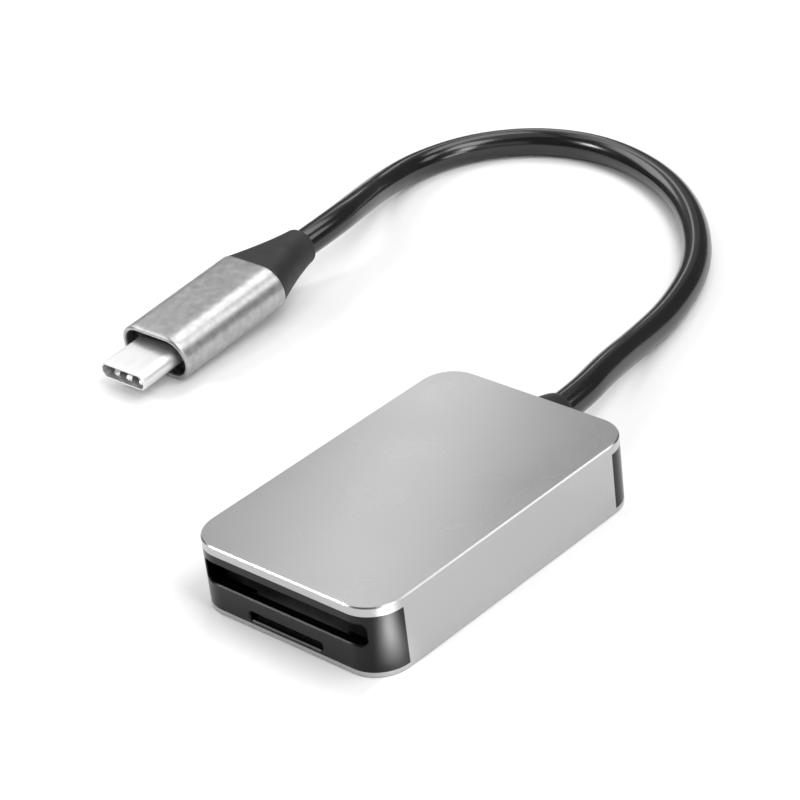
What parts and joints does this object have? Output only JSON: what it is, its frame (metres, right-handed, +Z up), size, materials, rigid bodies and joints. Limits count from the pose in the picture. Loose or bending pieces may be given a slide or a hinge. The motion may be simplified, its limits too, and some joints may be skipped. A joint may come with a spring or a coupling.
{
  "type": "memory card reader",
  "caption": "Slim aluminium memory card reader with a full-size and a small card slot in its black front cap and a short captive cable ending in a USB-C plug",
  "frame": {"origin": "middle of the underside of the sleeve, on the table", "axes": "+Z up, -Y the card slots, +Y the cable end, +X right when facing +Y"},
  "size_m": [0.084, 0.1185, 0.0095],
  "materials": {
    "sleeve_aluminium": "fine blasted, satin",
    "cap_plastic": "satin-gloss moulding",
    "boot_elastomer": "soft satin",
    "jacket_elastomer": "smooth gloss",
    "board_laminate": "black solder mask",
    "socket_polymer": "moulded",
    "slider_polymer": "moulded",
    "sheet_steel": "rolled sheet",
    "spring_steel": "drawn wire",
    "contact_gold": "gold plated",
    "chip_epoxy": "moulded",
    "can_metal": "lapped",
    "ceramic_tan": "fired",
    "ceramic_black": "fired",
    "copper_crimp": "crimped",
    "core_braid": "braided",
    "wire_insulation": "extruded",
    "solder": "reflowed",
    "plug_nickel": "nickel plated",
    "plug_aluminium": "fine blasted, satin",
    "relief_elastomer": "matte",
    "mould_polymer": "moulded"
  },
  "bodies": {
    "reader": {"shell_sleeve": "sleeve_aluminium", "front_cap": "cap_plastic", "rear_cap": "cap_plastic", "cable_boot": "boot_elastomer", "main_board": "board_laminate", "sd_socket_base": "socket_polymer", "sd_socket_cover": "sheet_steel", "sd_contacts": "contact_gold", "sd_detect_springs": "spring_steel", "microsd_socket_base": "socket_polymer", "microsd_socket_cover": "sheet_steel", "microsd_contacts": "contact_gold", "microsd_eject_spring": "spring_steel", "microsd_latch_pin": "spring_steel", "controller_chip": "chip_epoxy", "crystal": "can_metal", "voltage_regulator": "chip_epoxy", "capacitors": "ceramic_tan", "resistors": "ceramic_black", "cable_core": "core_braid", "cable_ferrule": "copper_crimp", "cable_wires": "wire_insulation", "solder_joints": "solder", "cable_jacket": "jacket_elastomer", "plug_shell": "plug_nickel", "plug_contact_carrier": "socket_polymer", "plug_contacts": "contact_gold", "plug_mouth_springs": "plug_nickel", "plug_bezel": "cap_plastic", "plug_housing": "plug_aluminium", "plug_board": "board_laminate", "plug_inner_mould": "mould_polymer", "plug_wires": "wire_insulation", "plug_strain_relief": "relief_elastomer"},
    "microsd_slider": {"microsd_eject_slider": "slider_polymer"}
  },
  "joints": [
    {"name": "microsd_eject_slide", "type": "slide", "parent": "reader", "child": "microsd_slider", "axis": [0, 1, 0], "range_m": [0, 0.0032], "stiffness_N_per_m": 300, "springref_m": -0.002, "deforming": ["microsd_eject_spring"]}
  ]
}
